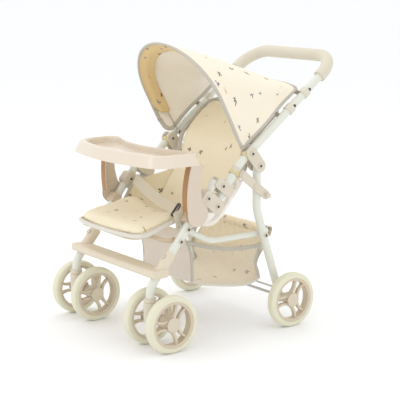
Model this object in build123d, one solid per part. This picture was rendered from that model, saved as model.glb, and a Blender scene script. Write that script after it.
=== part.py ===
from build123d import *
import os
from math import cos, hypot, radians, sin

# Doll stroller with a folding tube frame, in millimetres.
# X runs across with the left side at +X, Y runs from front to back, Z is up from the floor.
# The pieces are drawn with Y measured from the front axle, and save() moves them to the plan's centre.

# Frame tubes
frame_half_width = 141.0
tube_r = 8.5
tube_wall = 1.2
leg_slope = 51.0
leg_length = 252.0
leg_knee_z = 125.0
leg_knee_r = 45.0
leg_foot_z = 69.0
tube_spacing = 30.0
handle_slope = 38.0
handle_overlap = 118.0
handle_tail = 12.0
handle_length = 326.0
handle_bend_r = 120.0
handle_corner_r = 58.0
grip_r = 13.0
grip_drop = 64.0

# Hinges, brackets and rivets
side_gap = 0.3
plate = 3.5
pin_r = 3.0
pin_clearance = 0.06
rivet_head_r = 5.5
rivet_head_h = 1.8
hinge_below_top = 40.0
hinge_bracket_height = 30.0
hinge_bracket_lip = 13.0
bracket_corner = 9.0
lock_clip_below_top = 1.0
lock_clip_height = 22.0
lock_clip_reach = 3.0
lock_clip_corner = 5.5
leg_bracket_t = 26.0
leg_bracket_drop = 34.0
leg_bracket_r = 13.0
latch_above_top = 45.0
latch_drop = 14.0
latch_band = 1.5
latch_band_length = 12.6
latch_length = 42.0
latch_tip_length = 34.0
latch_tip_turn = 1.0
latch_r = 9.0
latch_tab = 9.0
latch_tab_r = 5.0

# Rear legs and rear axle
rear_leg_knee_z = 252.0
rear_leg_knee_r = 90.0
rear_leg_top = 10.0
rear_leg_end = 11.0
rear_axle_y = 306.0
cross_rod_r = 2.0
cross_rod_up = 18.0
spacer_r = 9.0

# Wheels and casters
wheel_r = 57.5
tyre_width = 19.0
tyre_round = 5.5
tyre_depth = 10.5
rim_depth = 6.0
rim_step = 1.0
hub_r = 13.0
hub_inner = 12.0
hub_outer = 6.5
cap_r = 15.0
cap_h = 3.0
cap_round = 1.8
spoke_r = 31.0
spoke_width = 5.0
spoke_thick = 8.0
axle_r = 3.0
axle_cover = 1.5
axle_gap = 0.5
wheel_pair_offset = 39.0
rear_wheel_out = 36.5
caster_trail = 23.5
socket_r = 13.0
socket_top = 98.0
socket_floor = 68.5
swivel_clearance = 0.05
boss_r = 12.0
web_width = 20.0
collar_r = 12.5
collar_height = 7.5
caster_round = 1.5

# Footrest
footrest_z = 153.0
footrest_y = -7.0
footrest_depth = 38.0
footrest_height = 16.0
footrest_round = 6.0
footrest_overhang = 14.0
sleeve_r = 12.0
sleeve_top = 80.0
sleeve_rivet_s = 67.0

# Seat
seat_tube_r = 4.0
seat_tube_z = 218.0
seat_tube_end_z = 210.0
seat_tube_tail = 3.5
seat_tube_elbow_y = 27.0
seat_tube_inner_y = 6.0
seat_tube_front_y = -36.0
seat_tube_front_in = 43.0
seat_tube_bend_r = 22.0
seat_side_gap = 28.0
seat_front_y = -48.0
seat_back_y = 118.0
seat_thick = 18.0
seat_gap = 1.0
seat_crown = 4.0
seat_nose_in = 16.0
seat_nose_run = 18.0
seat_nose_full = 0.5
seat_heel_run = 20.0
seat_heel_full = 0.6
seat_draw_in = 5.0
back_thick = 12.0
back_crown = 6.0
back_side_gap = 19.0
back_foot = (4.0, -10.0)
back_foot_in = 12.0
back_foot_turn = -6.0
back_foot_full = 0.6
back_sag = (30.0, -11.0)
back_sag_turn = 22.0
back_low = (56.0, 9.0)
back_low_turn = 50.0
back_hollow = (80.0, 41.0)
back_hollow_turn = 56.0
back_waist_t = (-2.0, 38.0)
back_waist_turn = 54.0
back_tube_t = (86.0, 8.0)
back_top_run = 30.0
back_top_in = 16.0
back_top_full = 0.5
back_draw_in = 4.0
strap_width = 24.0
strap_thick = 1.6
strap_above_hinge = 3.0
strap_over_seat = 15.0
strap_lean = 55.0
buckle_share = 0.96
buckle_round = 4.0
buckle_width = 31.0
buckle_length = 18.0
buckle_thick = 5.0

# Basket
basket_pivot_s = 138.0
basket_tube_r = 6.0
basket_tube_wall = 1.0
basket_tube_z = 195.0
basket_bend_y = 133.0
basket_bend_r = 80.0
basket_corner_r = 40.0
basket_back_y = 300.0
basket_end = 8.0
basket_front_in = 52.0
basket_side_in = 25.0
basket_cloth = 2.5
basket_mesh = 2.0
basket_front = (116.0, 214.0)
basket_front_foot = (116.0, 103.0)
basket_floor = (215.0, 84.0)
basket_rear_foot = (272.0, 91.0)
basket_rim_front = (128.0, 180.5)
basket_rim_low = (200.0, 168.0)
basket_rim_rear = (274.0, 168.5)

# Canopy
canopy_pivot_t = 48.0
canopy_bow_r = 1.6
canopy_bow_setback = 16.0
canopy_bow_room = 4.5
canopy_bow_side = 3.0
canopy_eye_r = 4.8
canopy_eye_thick = 2.6
canopy_cloth = 2.5
canopy_side_in = 4.0
canopy_lift = 15.0
canopy_front_foot = (18.6, -27.0)
canopy_front_top = (62.5, -250.4)
canopy_front_straight = 105.0
canopy_middle_t = 84.0
canopy_middle_top = (130.7, -159.0)
canopy_middle_straight = 62.0
canopy_rear_t = 196.0
canopy_rear_rise = 22.0
canopy_rear_straight = 5.0
canopy_clip_t = (160.0, 211.0)
canopy_clip_r = 11.0
canopy_clip_length = 14.0

# Play tray on two arms that push onto the front legs
tray_overhang = 24.0
tray_front_y = -42.0
tray_corner_y = -14.0
tray_back_y = 104.0
tray_back_dip = 46.0
tray_bottom_z = 360.5
tray_height = 24.0
tray_flare = 9.0
tray_back_share = 0.5
tray_front_r = 40.0
tray_back_r = 20.0
tray_wall = 3.0
tray_rim = 18.0
tray_draft = 2.5
tray_recess = 13.0
tray_rim_round = 4.5
tray_lip = (3.0, 2.5)
arm_thick = 5.0
arm_top_y = (60.0, 92.0)
arm_waist_y = (53.0, 88.0)
arm_waist_z = 305.0
arm_foot_y = (56.0, 104.0)
arm_foot_z = 262.0
arm_lobe = (80.0, 262.0)
arm_lobe_r = 25.0
arm_top_out = 18.0
arm_flange = 13.0
arm_flange_thick = 4.0
arm_flange_z = 268.0
arm_round = 0.4
saddle_s = (149.0, 169.0)
saddle_wall = 4.2
saddle_grip = 5.0

# Places worked out from the sizes above
stem_y = -caster_trail
leg_cos = cos(radians(leg_slope))
leg_sin = sin(radians(leg_slope))
handle_cos = cos(radians(handle_slope))
handle_sin = sin(radians(handle_slope))
plate_inner = tube_r + side_gap
plate_outer = plate_inner + plate
inside = frame_half_width - plate_outer
outside = frame_half_width + plate_outer
hinge_s = leg_length - hinge_below_top
lock_clip_s = leg_length - lock_clip_below_top
latch_s = leg_length + latch_above_top
rear_wheel_x = frame_half_width + rear_wheel_out
seat_half = frame_half_width - seat_side_gap
basket_half_width = frame_half_width - basket_side_in
basket_front_half = frame_half_width - basket_front_in
canopy_half_width = frame_half_width - canopy_side_in
tray_half_width = frame_half_width + tray_overhang


def leg_at(s, n=0.0):
    """Y and Z of a point s up the front leg from its knee and n behind it."""
    return (stem_y + s * leg_cos + n * leg_sin, leg_knee_z + s * leg_sin - n * leg_cos)


handle_bend = leg_at(hinge_s + handle_overlap - handle_tail, tube_spacing)


def handle_at(t, n=0.0):
    """Y and Z of a point t up the handle from its bend and n below it."""
    return (handle_bend[0] + t * handle_cos + n * handle_sin,
            handle_bend[1] + t * handle_sin - n * handle_cos)


handle_bar = handle_at(handle_length)
hinge = leg_at(hinge_s, tube_spacing)
leg_pivot = handle_at(leg_bracket_t, leg_bracket_drop)
basket_pivot = leg_at(basket_pivot_s)
bow_pivot = handle_at(canopy_pivot_t)
bow_half = frame_half_width - tube_r - canopy_bow_side
hood_top = handle_at(*canopy_front_top)
bow_top = (hood_top[0] + canopy_bow_setback,
           hood_top[1] - canopy_cloth - canopy_bow_r - canopy_bow_room)
rear_axle = (rear_axle_y, wheel_r)
rear_knee = (leg_pivot[0], rear_leg_knee_z)
rear_run = hypot(rear_axle[0] - rear_knee[0], rear_axle[1] - rear_knee[1])
rear_dir = ((rear_axle[0] - rear_knee[0]) / rear_run, (rear_axle[1] - rear_knee[1]) / rear_run)
basket_x = frame_half_width - tube_r - basket_tube_r - side_gap
seat_tube_x = frame_half_width - tube_r - seat_tube_r
origin_y = (handle_bar[0] + grip_r - wheel_r) / 2


def rear_leg_at(distance):
    """Y and Z of a point on the rear leg's lower run, this far above the axle."""
    return (rear_axle[0] - rear_dir[0] * distance, rear_axle[1] - rear_dir[1] * distance)


def across(r, x0, x1, point):
    """A round bar along X between x0 and x1 at a side-view point."""
    return Pos((x0 + x1) / 2, point[0], point[1]) * Rot(0, 90, 0) * Cylinder(r, abs(x1 - x0))


def rivet(point, x0, x1, r=pin_r):
    """A pin along X with a low head outside each end."""
    heads = across(rivet_head_r, x0 - rivet_head_h, x0, point)
    heads += across(rivet_head_r, x1, x1 + rivet_head_h, point)
    return across(r, x0, x1, point) + heads


def tube(points, radii, r, wall=None):
    """A round tube along straight runs joined by bends, or a solid wire if it has no wall."""
    path = FilletPolyline(*points, radius=radii)
    section = Circle(r) - Circle(r - wall) if wall else Circle(r)
    return sweep(Plane(path @ 0, z_dir=path % 0) * section, path)


def slab(points, x0, x1):
    """A flat piece with a side-view outline, between x0 and x1."""
    outline = make_face(Polyline(*points, close=True))
    return extrude(Plane.YZ.offset(x0) * outline, amount=x1 - x0)


def leg_frame(s):
    """A frame on the left front leg: X across, Y behind the leg, Z up along it."""
    y, z = leg_at(s)
    return Plane((frame_half_width, y, z), x_dir=(1, 0, 0), z_dir=(0, leg_cos, leg_sin))


def handle_frame(t):
    """A frame on the left handle tube: X across, Y below the tube, Z up along it."""
    y, z = handle_at(t)
    return Plane((frame_half_width, y, z), x_dir=(1, 0, 0), z_dir=(0, handle_cos, handle_sin))


def rounded_block(x0, x1, n0, n1, s0, s1, corner):
    """A block in a tube frame, rounded as seen from the side."""
    block = Pos((x0 + x1) / 2, (n0 + n1) / 2, (s0 + s1) / 2) * Box(x1 - x0, n1 - n0, s1 - s0)
    return fillet(block.edges().filter_by(Axis.X), corner)


def other_side(shape):
    return mirror(shape, about=Plane.YZ)


def save(name, shape):
    """Write one node, with its origin on the floor under the middle of the plan."""
    solids = [Pos(0, -origin_y, 0) * solid for solid in shape.solids()]
    node = Compound(children=solids) if len(solids) > 1 else solids[0]
    export_step(node, f"parts/{name}.step")


def save_pair(name, left):
    save(f"{name}_left", left)
    save(f"{name}_right", other_side(left))


def save_group(name, left):
    save(name, Compound(children=list(left.solids()) + list(other_side(left).solids())))


def front_leg():
    side = [(stem_y, leg_foot_z), (stem_y, leg_knee_z), leg_at(leg_length)]
    points = [(frame_half_width, *p) for p in side]
    leg = tube(points, [leg_knee_r], tube_r, tube_wall)
    for place in (leg_at(hinge_s), basket_pivot, seat_tube_point()):
        leg -= across(pin_r, 0, outside, place)
    return leg


def seat_tube_point():
    """Side-view place where the seat tube is riveted to the front leg."""
    return leg_at((seat_tube_end_z - leg_knee_z) / leg_sin)


def footrest():
    """Moulded foot bar with a sleeve up each front leg."""
    reach = frame_half_width + footrest_overhang
    bar = Pos(0, footrest_y, footrest_z) * Box(2 * reach, footrest_depth, footrest_height)
    bar = fillet(bar.edges().filter_by(Axis.X), footrest_round)
    sleeve_start = (footrest_z - leg_knee_z) / leg_sin
    length = sleeve_top - sleeve_start
    sleeve = leg_frame(sleeve_start + length / 2) * Cylinder(sleeve_r, length)
    bore = leg_frame(sleeve_start) * Cylinder(tube_r, 3 * length)
    return bar + sleeve + other_side(sleeve) - bore - other_side(bore)


def hinge_bracket():
    """Channel of two plates on the front leg, which carries the handle's hinge pin."""
    half = hinge_bracket_height / 2
    n1 = tube_spacing + hinge_bracket_lip
    body = rounded_block(-plate_outer, plate_outer, -plate_outer, n1, -half, half, bracket_corner)
    slot = Pos(0, n1 / 2, 0) * Box(2 * plate_inner, n1 + 2 * plate_inner, 2 * hinge_bracket_height)
    bracket = leg_frame(hinge_s) * (body - slot)
    for place in (leg_at(hinge_s), hinge):
        bracket -= across(pin_r, inside, outside, place)
    return bracket


def lock_clip():
    """Sleeve on the handle tube with two prongs that hold the front leg's top end."""
    half = lock_clip_height / 2
    far = tube_spacing + plate_outer
    body = rounded_block(-plate_outer, plate_outer, -lock_clip_reach, far, -half, half, lock_clip_corner)
    cradle_end = tube_spacing - plate_outer
    slot = Pos(0, (cradle_end - lock_clip_height) / 2, 0) * Box(
        2 * plate_inner, cradle_end + lock_clip_height, 2 * lock_clip_height)
    bore = Pos(0, tube_spacing, 0) * Cylinder(tube_r, 2 * lock_clip_height)
    return leg_frame(lock_clip_s) * (body - slot - bore)


def handle_tube():
    start = leg_at(hinge_s - handle_tail, tube_spacing)
    side = [(frame_half_width, *p) for p in (start, handle_bend, handle_bar)]
    points = side + [(-x, y, z) for x, y, z in reversed(side)]
    bends = [handle_bend_r, handle_corner_r, handle_corner_r, handle_bend_r]
    piece = tube(points, bends, tube_r, tube_wall)
    for sign in (1, -1):
        piece -= across(pin_r + pin_clearance, sign * inside, sign * outside, hinge)
        piece -= across(pin_r, sign * inside, sign * outside, handle_at(leg_bracket_t))
        piece -= across(pin_r, sign * inside, sign * frame_half_width, bow_pivot)
    return piece


def handle_grip():
    """Foam sleeve over the handle's cross bar and both corners."""
    side = [(frame_half_width, *p) for p in (handle_at(handle_length - grip_drop), handle_bar)]
    points = side + [(-x, y, z) for x, y, z in reversed(side)]
    return tube(points, [handle_corner_r, handle_corner_r], grip_r, grip_r - tube_r)


def leg_bracket():
    """Two plates under the handle tube that carry the rear leg's pivot."""
    local = SlotCenterToCenter(leg_bracket_drop, 2 * leg_bracket_r)
    spot = Plane.YZ.offset(frame_half_width) * Pos(*handle_at(leg_bracket_t, leg_bracket_drop / 2))
    outline = spot * Rot(0, 0, handle_slope - 90) * local
    plates = extrude(outline, amount=plate_outer, both=True)
    plates -= extrude(outline, amount=plate_inner, both=True)
    for place in (handle_at(leg_bracket_t), leg_pivot):
        plates -= across(pin_r, inside, outside, place)
    return plates


def latch_mount():
    """Band on the handle tube with a lug and stub pin for the fold latch."""
    band_r = tube_r + latch_band
    place = leg_frame(latch_s)
    band = place * Pos(0, tube_spacing, 0) * Cylinder(band_r, latch_band_length)
    lug_n = tube_spacing + latch_drop
    stalk = Box(2 * plate, latch_drop, latch_band_length)
    lug = place * Pos(plate_inner - plate, lug_n - latch_drop / 2, 0) * stalk
    pivot = leg_at(latch_s, lug_n)
    face = frame_half_width + plate_inner
    lug += across(latch_band_length / 2, frame_half_width + tube_r - plate, face, pivot)
    lug += across(pin_r, frame_half_width + tube_r, outside + side_gap, pivot)
    lug += across(rivet_head_r, outside + side_gap, outside + side_gap + rivet_head_h, pivot)
    bore = place * Pos(0, tube_spacing, 0) * Cylinder(tube_r, 4 * latch_band_length)
    return band + lug - bore


def fold_latch():
    """Flat latch lever across the rear leg, with a thumb tab at its tip."""
    pivot = leg_at(latch_s, tube_spacing + latch_drop)
    knee = leg_at(latch_s, tube_spacing + latch_drop + latch_length)
    turn = radians(leg_slope - 90 + latch_tip_turn)
    tip = (knee[0] + latch_tip_length * cos(turn), knee[1] + latch_tip_length * sin(turn))
    face = frame_half_width + plate_inner + side_gap
    link = Sketch()
    for start, end in ((pivot, knee), (knee, tip)):
        middle = Pos((start[0] + end[0]) / 2, (start[1] + end[1]) / 2)
        run = Vector(end[0] - start[0], end[1] - start[1])
        angle = Vector(1, 0).get_signed_angle(run, Vector(0, 0, 1))
        link += middle * Rot(0, 0, angle) * SlotCenterToCenter(run.length, 2 * latch_r)
    lever = extrude(Plane.YZ.offset(face) * link, amount=plate - side_gap)
    tab = Plane.YZ.offset(face) * Pos(*tip) * Circle(latch_tab_r)
    lever += extrude(tab, amount=plate + latch_tab)
    lever += across(rivet_head_r, face, outside + rivet_head_h, knee)
    return lever - across(pin_r + pin_clearance, frame_half_width, outside + plate, pivot)


def rear_leg():
    top = (leg_pivot[0], leg_pivot[1] + rear_leg_top)
    points = [(frame_half_width, *p) for p in (top, rear_knee, rear_leg_at(-rear_leg_end))]
    leg = tube(points, [rear_leg_knee_r], tube_r, tube_wall)
    leg -= across(pin_r + pin_clearance, inside, outside, leg_pivot)
    leg -= across(axle_r, inside, outside, rear_axle)
    leg -= across(cross_rod_r, inside, frame_half_width, rear_leg_at(cross_rod_up))
    leg -= across(pin_r, inside, outside, basket_joint())
    return leg


def basket_joint():
    """Side-view place where the basket tube is pinned to the rear leg."""
    return rear_leg_at((basket_tube_z - rear_axle[1]) / -rear_dir[1])


def basket_tube():
    back = basket_end / hypot(basket_bend_y - basket_pivot[0], basket_tube_z - basket_pivot[1])
    start = (basket_pivot[0] - back * (basket_bend_y - basket_pivot[0]),
             basket_pivot[1] - back * (basket_tube_z - basket_pivot[1]))
    run = (start, (basket_bend_y, basket_tube_z), (basket_back_y, basket_tube_z))
    side = [(basket_x, *p) for p in run]
    points = side + [(-x, y, z) for x, y, z in reversed(side)]
    bends = [basket_bend_r, basket_corner_r, basket_corner_r, basket_bend_r]
    piece = tube(points, bends, basket_tube_r, basket_tube_wall)
    hole = across(pin_r + pin_clearance, 0, frame_half_width, basket_pivot)
    return piece - hole - other_side(hole)


def basket_outline():
    """Side view of the hanging bag, from the front rim down and round to the back rim."""
    back = (basket_back_y, basket_tube_z - basket_tube_r - basket_cloth)
    return [basket_front, basket_front_foot, basket_floor, basket_rear_foot, back]


def basket_bag():
    """Front, floor and back of the bag as one folded sheet, open at the top."""
    line = Polyline(*basket_outline())
    band = offset(line, amount=basket_cloth, side=Side.LEFT)
    sheet = extrude(Plane.YZ * make_face(band), amount=basket_half_width, both=True)
    return sheet & basket_plan(0, 0)


def basket_plan(inner, outer):
    """Upright prism over the bag's plan, or over its left side alone between two offsets."""
    front = basket_front[0] - basket_bend_r
    rear = basket_rim_rear[0]
    edge = [(basket_front_half, front), (basket_front_half, basket_front[0]), (basket_half_width, rear),
            (basket_half_width, basket_back_y + basket_bend_r)]
    left = [(x + outer, y) for x, y in edge]
    right = [(x + inner, y) for x, y in reversed(edge)] if outer else [(-x, y) for x, y in reversed(edge)]
    plan = make_face(Polyline(*left, *right, close=True))
    return extrude(plan, amount=basket_tube_z + basket_bend_r)


def basket_side():
    points = basket_outline() + [basket_rim_rear, basket_rim_low, basket_rim_front]
    wall = slab(points, 0, basket_half_width + basket_mesh)
    return wall & basket_plan(0, basket_mesh)


def caster():
    """Caster block: a socket for the leg's foot and a boss for the twin wheels' axle."""
    height = socket_top - wheel_r
    socket = Pos(frame_half_width, stem_y, wheel_r + height / 2) * Cylinder(socket_r, height)
    reach = wheel_pair_offset - hub_inner - axle_gap
    boss = across(boss_r, frame_half_width - reach, frame_half_width + reach, (0, wheel_r))
    web = Box(web_width, caster_trail, 2 * boss_r)
    web = Pos(frame_half_width, stem_y / 2, wheel_r + boss_r / 2) * web
    bore_height = socket_top - socket_floor
    bore = Pos(frame_half_width, stem_y, socket_floor + bore_height / 2) * Cylinder(
        tube_r + swivel_clearance, bore_height)
    block = fillet((socket + boss + web).edges().group_by(Axis.Z)[-1], caster_round)
    return block - bore - axle(frame_half_width - 2 * reach, frame_half_width + 2 * reach, 0)


def swivel_collar():
    ring = Cylinder(collar_r, collar_height) - Cylinder(tube_r, collar_height)
    return Pos(frame_half_width, stem_y, socket_top + axle_gap + collar_height / 2) * ring


def axle(x0, x1, y):
    return across(axle_r, x0, x1, (y, wheel_r))


def rear_spacer():
    """Sleeve on the rear axle between the left rear leg and its wheel."""
    x0 = frame_half_width + tube_r + axle_gap
    x1 = rear_wheel_x - hub_inner - axle_gap
    return across(spacer_r, x0, x1, rear_axle) - across(axle_r, x0, x1, rear_axle)


def tyre():
    ring = Cylinder(wheel_r, tyre_width)
    ring = fillet(ring.edges(), tyre_round)
    return ring - Cylinder(wheel_r - tyre_depth, tyre_width)


def rim():
    """Wheel rim with three bowed spokes that lean on the hub; +Z is the outer face."""
    seat_r = wheel_r - tyre_depth
    band = Cylinder(seat_r, tyre_width - 2 * rim_step) - Cylinder(seat_r - rim_depth, tyre_width)
    bow_centre = hub_r + spoke_r
    half = spoke_width / 2
    bow = Cylinder(spoke_r + half, spoke_thick) - Cylinder(spoke_r - half, spoke_thick)
    spoke = Pos(0, bow_centre, 0) * bow
    bows = spoke + Rot(0, 0, 120) * spoke + Rot(0, 0, 240) * spoke
    bows = bows & Cylinder(seat_r - rim_depth / 2, spoke_thick)
    hub_length = hub_inner + hub_outer
    hub = Pos(0, 0, (hub_outer - hub_inner) / 2) * Cylinder(hub_r, hub_length)
    bore = Pos(0, 0, -hub_inner) * Cylinder(axle_r + pin_clearance, 2 * (hub_length - axle_cover))
    return band + Pos(0, 0, hub_outer - spoke_thick / 2 - rim_step) * bows + hub - bore


def hub_cap():
    cap = Pos(0, 0, hub_outer + cap_h / 2) * Cylinder(cap_r, cap_h)
    return fillet(cap.edges().group_by(Axis.Z)[-1], cap_round)


def save_wheel(name, x, y, outward):
    """One wheel: outward is +1 or -1, the way along X that its capped face looks."""
    spot = Pos(x, y, wheel_r) * Rot(0, 90 * outward, 0)
    save(f"tyre_{name}", spot * tyre())
    save(f"rim_{name}", spot * rim())
    save(f"hub_cap_{name}", spot * hub_cap())


def cushion(stations, thick, crown):
    """A crowned pad lofted through stations of (Y, Z, half width, direction in degrees, fullness)."""
    sections = []
    for y, z, half, turn, fullness in stations:
        low = -thick * fullness / 2
        high = thick * fullness / 2
        lower = Line((-half, low), (half, low))
        right = ThreePointArc((half, low), (half + high, 0), (half, high))
        upper = ThreePointArc((half, high), (0, high + crown * fullness), (-half, high))
        left = ThreePointArc((-half, high), (-half - high, 0), (-half, low))
        face = make_face([lower, right, upper, left])
        forward = (0, cos(radians(turn)), sin(radians(turn)))
        sections.append(Plane((0, y, z), x_dir=(-1, 0, 0), z_dir=forward) * face)
    return loft(sections)


def seat_pan():
    middle = seat_tube_z + seat_tube_r + seat_gap + seat_thick / 2
    half = seat_half - seat_thick / 2
    stations = [
        (seat_front_y, middle, half - seat_nose_in, 0, seat_nose_full),
        (seat_front_y + seat_nose_run, middle, half, 0, 1.0),
        ((seat_front_y + seat_back_y) / 2, middle, half - seat_draw_in, 0, 1.0),
        (seat_back_y - seat_heel_run, middle, half, 0, 1.0),
        (seat_back_y, middle, half - seat_draw_in, 0, seat_heel_full),
    ]
    return cushion(stations, seat_thick, seat_crown)


def seat_back():
    """Backrest pad: it sags behind the seat and then lies along the handle tubes."""
    half = frame_half_width - back_side_gap - back_thick / 2
    base = (seat_back_y, seat_tube_z + seat_tube_r + seat_thick)
    top_t = canopy_clip_t[0]
    places = (back_foot, back_sag, back_low, back_hollow)
    foot, sag, low, hollow = [(base[0] + y, base[1] + z) for y, z in places]
    stations = [
        (*foot, half - back_foot_in, back_foot_turn, back_foot_full),
        (*sag, half - back_draw_in, back_sag_turn, 1.0),
        (*low, half - back_draw_in, back_low_turn, 1.0),
        (*hollow, half - back_draw_in, back_hollow_turn, 1.0),
        (*handle_at(*back_waist_t), half - back_draw_in, back_waist_turn, 1.0),
        (*handle_at(*back_tube_t), half - back_draw_in, handle_slope, 1.0),
        (*handle_at(top_t - back_top_run), half, handle_slope, 1.0),
        (*handle_at(top_t), half - back_top_in, handle_slope, back_top_full),
    ]
    return cushion(stations, back_thick, back_crown)


def strap_ends():
    """The lap strap's two ends: at the right hinge and at the left front of the seat."""
    high = leg_at(hinge_s)
    edge = seat_half
    seat_top = seat_tube_z + seat_tube_r + seat_gap + seat_thick + seat_crown
    return (Vector(-edge, high[0], high[1] + strap_above_hinge),
            Vector(edge, basket_pivot[0], seat_top + strap_over_seat))


def strap_frame(share):
    """A frame on the lap strap, this share of the way along: X along it and Z out of its face."""
    start, end = strap_ends()
    along = end - start
    lean = radians(strap_lean)
    face = Vector(0, -sin(lean), cos(lean))
    face -= along * (along.dot(face) / along.length ** 2)
    return Plane(start + along * share, x_dir=along, z_dir=face)


def lap_strap():
    start, end = strap_ends()
    return strap_frame(0.5) * Box((end - start).length, strap_width, strap_thick)


def strap_buckle():
    block = Box(buckle_length, buckle_width, buckle_thick)
    buckle = fillet(block.edges().filter_by(Axis.Z), buckle_round)
    return strap_frame(buckle_share) * (buckle - Box(buckle_length, strap_width, strap_thick))


def seat_tube():
    """Thin tube under the seat: it rises from the front legs and crosses below the seat's nose."""
    back, low = seat_tube_point()
    front_x = frame_half_width - seat_tube_front_in
    points = [(seat_tube_x, back + seat_tube_tail, low), (seat_tube_x, seat_tube_elbow_y, low),
              (front_x, seat_tube_inner_y, seat_tube_z), (front_x, seat_tube_front_y, seat_tube_z)]
    points += [(-x, y, z) for x, y, z in reversed(points)]
    piece = tube(points, [seat_tube_bend_r] * 6, seat_tube_r, tube_wall)
    hole = across(pin_r, 0, frame_half_width, seat_tube_point())
    return piece - hole - other_side(hole)


def frame_rivets():
    """Rivets and hinge pins that stay with the front legs, left side."""
    outer = frame_half_width + tube_r
    group = [rivet(leg_at(hinge_s), inside, outside), rivet(hinge, inside, outside)]
    group.append(rivet(basket_pivot, basket_x - basket_tube_r - side_gap, outer))
    group.append(rivet(seat_tube_point(), seat_tube_x - seat_tube_r, outer))
    stud = Pos(0, -sleeve_r - rivet_head_h / 2, 0) * Rot(90, 0, 0) * Cylinder(rivet_head_r, rivet_head_h)
    group.append(leg_frame(sleeve_rivet_s) * stud)
    return Compound(children=group)


def handle_rivets():
    """Rivets and pivot pins that stay with the handle, left side."""
    group = [rivet(handle_at(leg_bracket_t), inside, outside), rivet(leg_pivot, inside, outside)]
    group.append(bow_pin())
    knob_at = leg_at(lock_clip_s, tube_spacing / 2)
    group.append(across(rivet_head_r, outside, outside + rivet_head_h, knob_at))
    return Compound(children=group)


def bow_pin():
    """Pin inside the handle tube on which the canopy bow's eye turns."""
    wall = frame_half_width - tube_r
    head = bow_half - canopy_bow_r - side_gap
    return across(pin_r, head, wall + tube_wall, bow_pivot) + across(
        rivet_head_r, head - rivet_head_h, head, bow_pivot)


def rear_leg_rivet():
    """Rivet in the rear leg where the basket tube is pinned; it stops short of that tube."""
    x0 = frame_half_width - tube_r
    x1 = frame_half_width + tube_r
    shank = across(pin_r, x0, x1, basket_joint())
    return shank + across(rivet_head_r, x1, x1 + rivet_head_h, basket_joint())


def arch(half, straight, height):
    """Straight legs with a half-oval top, as the four edges of an arch in X and Y."""
    top = height - straight
    return [Line((half, 0), (half, straight)),
            EllipticalCenterArc((0, straight), half, top, start_angle=0, arc_size=90),
            EllipticalCenterArc((0, straight), half, top, start_angle=90, arc_size=90),
            Line((-half, straight), (-half, 0))]


def canopy_bow():
    """Wire bow that spreads the canopy, with an eye at each end on the handle tube's inner side."""
    points = [(bow_half, *bow_pivot), (bow_half, *bow_top)]
    points += [(-x, y, z) for x, y, z in reversed(points)]
    bend = bow_half - canopy_bow_r
    bow = tube(points, [bend, bend], canopy_bow_r)
    half = canopy_eye_thick / 2
    eye = across(canopy_eye_r, bow_half - half, bow_half + half, bow_pivot)
    hole = across(pin_r + pin_clearance, bow_half - 3 * half, bow_half + 3 * half, bow_pivot)
    return bow + eye + other_side(eye) - hole - other_side(hole)


def canopy_section(foot, top, straight):
    """A band across the canopy, from a foot on one side over the top to the other foot."""
    rise = (top[0] - foot[0], top[1] - foot[1])
    height = hypot(*rise)
    outer = arch(canopy_half_width, straight, height)
    inner = arch(canopy_half_width - canopy_cloth, straight, height - canopy_cloth)
    feet = [Line(outer[0] @ 0, inner[0] @ 0), Line(outer[3] @ 1, inner[3] @ 1)]
    face = make_face(outer + inner + feet)
    return Plane((0, *foot), x_dir=(1, 0, 0), z_dir=(0, -rise[1] / height, rise[0] / height)) * face


def canopy_fabric():
    """One curved sheet from the front bow edge to the low rear edge across the handle."""
    middle_foot = handle_at(canopy_middle_t, -canopy_lift)
    rear_foot = handle_at(canopy_rear_t, -canopy_lift)
    rear_top = handle_at(canopy_rear_t, -canopy_lift - canopy_rear_rise)
    sections = [
        canopy_section(handle_at(*canopy_front_foot), hood_top, canopy_front_straight),
        canopy_section(middle_foot, handle_at(*canopy_middle_top), canopy_middle_straight),
        canopy_section(rear_foot, rear_top, canopy_rear_straight),
    ]
    return loft(sections)


def canopy_clips():
    group = []
    for t in canopy_clip_t:
        ring = Cylinder(canopy_clip_r, canopy_clip_length) - Cylinder(tube_r, canopy_clip_length)
        group.append(handle_frame(t) * ring)
    return Compound(children=group)


def tray_outline(z, inset):
    """Plan outline of the tray at one height, inset from the skirt's lower edge."""
    half = tray_half_width - inset
    back = tray_back_y - inset * tray_back_share
    corner = tray_corner_y + inset
    front = ThreePointArc((-half, corner), (0, tray_front_y + inset), (half, corner))
    rear = ThreePointArc((half, back), (0, back - tray_back_dip), (-half, back))
    sides = [Line(front @ 1, rear @ 0), Line(rear @ 1, front @ 0)]
    face = make_face([front, sides[0], rear, sides[1]])
    face = fillet(face.vertices().sort_by(Axis.Y)[:2], tray_front_r)
    return Pos(0, 0, z) * fillet(face.vertices().sort_by(Axis.Y)[-2:], tray_back_r)


def tray_body(z0, z1, inset):
    """The tray's tapering outline between two heights, inset on every side."""
    low = inset + tray_flare * (z0 - tray_bottom_z) / tray_height
    high = inset + tray_flare * (z1 - tray_bottom_z) / tray_height
    return loft([tray_outline(z0, low), tray_outline(z1, high)])


def tray():
    """Shallow tray with a raised rim, hollow underneath."""
    top = tray_bottom_z + tray_height
    floor = top - tray_recess
    outer = tray_body(tray_bottom_z, top, 0)
    outer = fillet(outer.edges().group_by(Axis.Z)[-1], tray_rim_round)
    deep = tray_rim + tray_draft
    recess = loft([tray_outline(floor, deep), tray_outline(top, tray_rim)])
    lip_drop, lip_slope = tray_lip
    recess += loft([tray_outline(top - lip_drop, tray_rim), tray_outline(top, tray_rim - lip_slope)])
    tub = loft([tray_outline(floor - tray_wall, deep - tray_wall), tray_outline(top, tray_rim - tray_wall)])
    hollow = tray_body(tray_bottom_z, top - tray_wall, tray_wall) - tub
    return outer - hollow - recess


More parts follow.
